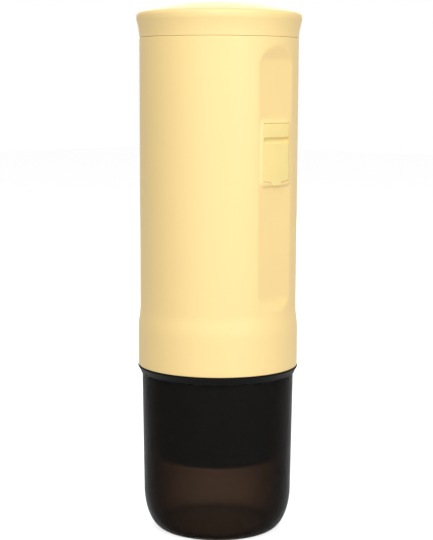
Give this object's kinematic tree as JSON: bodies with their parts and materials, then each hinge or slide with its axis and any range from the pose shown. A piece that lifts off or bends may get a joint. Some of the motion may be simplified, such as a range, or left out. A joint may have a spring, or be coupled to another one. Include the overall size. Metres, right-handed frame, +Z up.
{
  "type": "portable electric espresso maker",
  "caption": "Slim battery espresso maker: domed screw lid over a heated tank, pale round body with a capped charging port, screw-in portafilter and a smoked pull-off cup.",
  "frame": {"origin": "middle of the cup's bottom, on the surface that the part stands on", "axes": "+Z up along the body's axis, -Y towards the power button, +Y towards the charging port"},
  "size_m": [0.0694, 0.0694, 0.2251],
  "materials": {
    "cream_plastic": "fine matt moulded plastic, pale yellow",
    "cream_silicone": "matt silicone, pale yellow",
    "smoked_clear": "clear smoked copolyester, glossy",
    "black_plastic": "satin black plastic",
    "black_rubber": "matt black silicone",
    "clear_silicone": "milky silicone",
    "white_plastic": "white moulded plastic",
    "white_lens": "milky light guide",
    "steel": "brushed stainless steel",
    "aluminium": "plain aluminium",
    "brass": "turned brass",
    "copper": "enamelled copper winding",
    "cell_wrap": "shrink-wrapped cell, mean density near aluminium's",
    "circuit_board": "green solder mask",
    "red_wire": "silicone-insulated wire"
  },
  "bodies": {
    "cup": {"cup": "smoked_clear"},
    "body": {"body_shell": "cream_plastic", "port_flap_tab": "cream_silicone", "usb_socket": "steel", "usb_tongue": "black_plastic", "button_light_ring": "white_lens", "tact_switch": "black_plastic", "tank_collar": "black_plastic", "tank_seal": "clear_silicone", "water_tank": "steel", "tank_strainer": "steel", "tank_outlet": "brass", "outlet_nut": "brass", "heater_plate": "aluminium", "heater_pad": "clear_silicone", "thermistor": "black_plastic", "thermal_fuse": "white_plastic", "heat_shield": "white_plastic", "shield_spacers": "white_plastic", "control_board": "circuit_board", "board_parts": "black_plastic", "lead_wires": "red_wire", "stack_screws": "steel", "cell_cap": "white_plastic", "cell_contacts": "steel", "battery_cell_1": "cell_wrap", "battery_cell_2": "cell_wrap", "battery_cell_3": "cell_wrap", "cell_tray": "white_plastic", "pump_yoke": "steel", "pump_bobbin": "black_plastic", "pump_coil": "copper", "pump_sleeve": "brass", "pump_spring_upper": "steel", "pump_spring_lower": "steel", "pump_inlet": "white_plastic", "pump_outlet": "white_plastic", "pump_mounts": "black_rubber", "suction_hose": "clear_silicone", "pressure_hose": "clear_silicone", "brew_head": "black_plastic", "head_screws": "steel", "shower_screen": "steel", "brew_gasket": "black_rubber", "base_ring": "black_plastic", "cup_o_ring": "black_rubber"},
    "lid_seal": {"lid_gasket": "clear_silicone"},
    "lid": {"lid_cap": "cream_plastic", "lid_insert": "white_plastic"},
    "button": {"power_button": "cream_plastic", "switch_stem": "white_plastic"},
    "flap": {"port_flap": "cream_silicone"},
    "basket": {"filter_basket": "steel"},
    "portafilter": {"portafilter": "black_plastic", "spout": "black_plastic"},
    "plunger": {"pump_plunger": "steel"}
  },
  "joints": [
    {"name": "lid_lift", "type": "slide", "parent": "body", "child": "lid_seal", "axis": [0, 0, 1], "range_m": [0, 0.0121]},
    {"name": "lid_turn", "type": "hinge", "parent": "lid_seal", "child": "lid", "pos_m": [0, 0, 0.2169], "axis": [0, 0, 1], "range_deg": [0, 360]},
    {"name": "button_press", "type": "slide", "parent": "body", "child": "button", "axis": [0, 1, 0], "range_m": [0, 0.0008], "stiffness_N_per_m": 2500, "springref_m": -0.0004},
    {"name": "flap_open", "type": "hinge", "parent": "body", "child": "flap", "pos_m": [0, 0.0319, 0.16863], "axis": [1, 0, 0], "range_deg": [0, 90]},
    {"name": "portafilter_drop", "type": "slide", "parent": "body", "child": "basket", "axis": [0, 0, -1], "range_m": [0, 0.0131]},
    {"name": "portafilter_turn", "type": "hinge", "parent": "basket", "child": "portafilter", "pos_m": [0, 0, 0.07], "axis": [0, 0, -1], "range_deg": [0, 360]},
    {"name": "lift_off_cup", "type": "slide", "parent": "cup", "child": "body", "axis": [0, 0, 1], "range_m": [0, 0.08]},
    {"name": "plunger_stroke", "type": "slide", "parent": "body", "child": "plunger", "axis": [0, 0, 1], "range_m": [-0.0025, 0.0025], "stiffness_N_per_m": 600, "deforming": ["pump_spring_upper", "pump_spring_lower"]}
  ],
  "couplings": [
    {"joint": "lid_lift", "follows": "lid_turn", "m_per_rad": 0.0019099},
    {"joint": "portafilter_drop", "follows": "portafilter_turn", "m_per_rad": 0.002069}
  ]
}
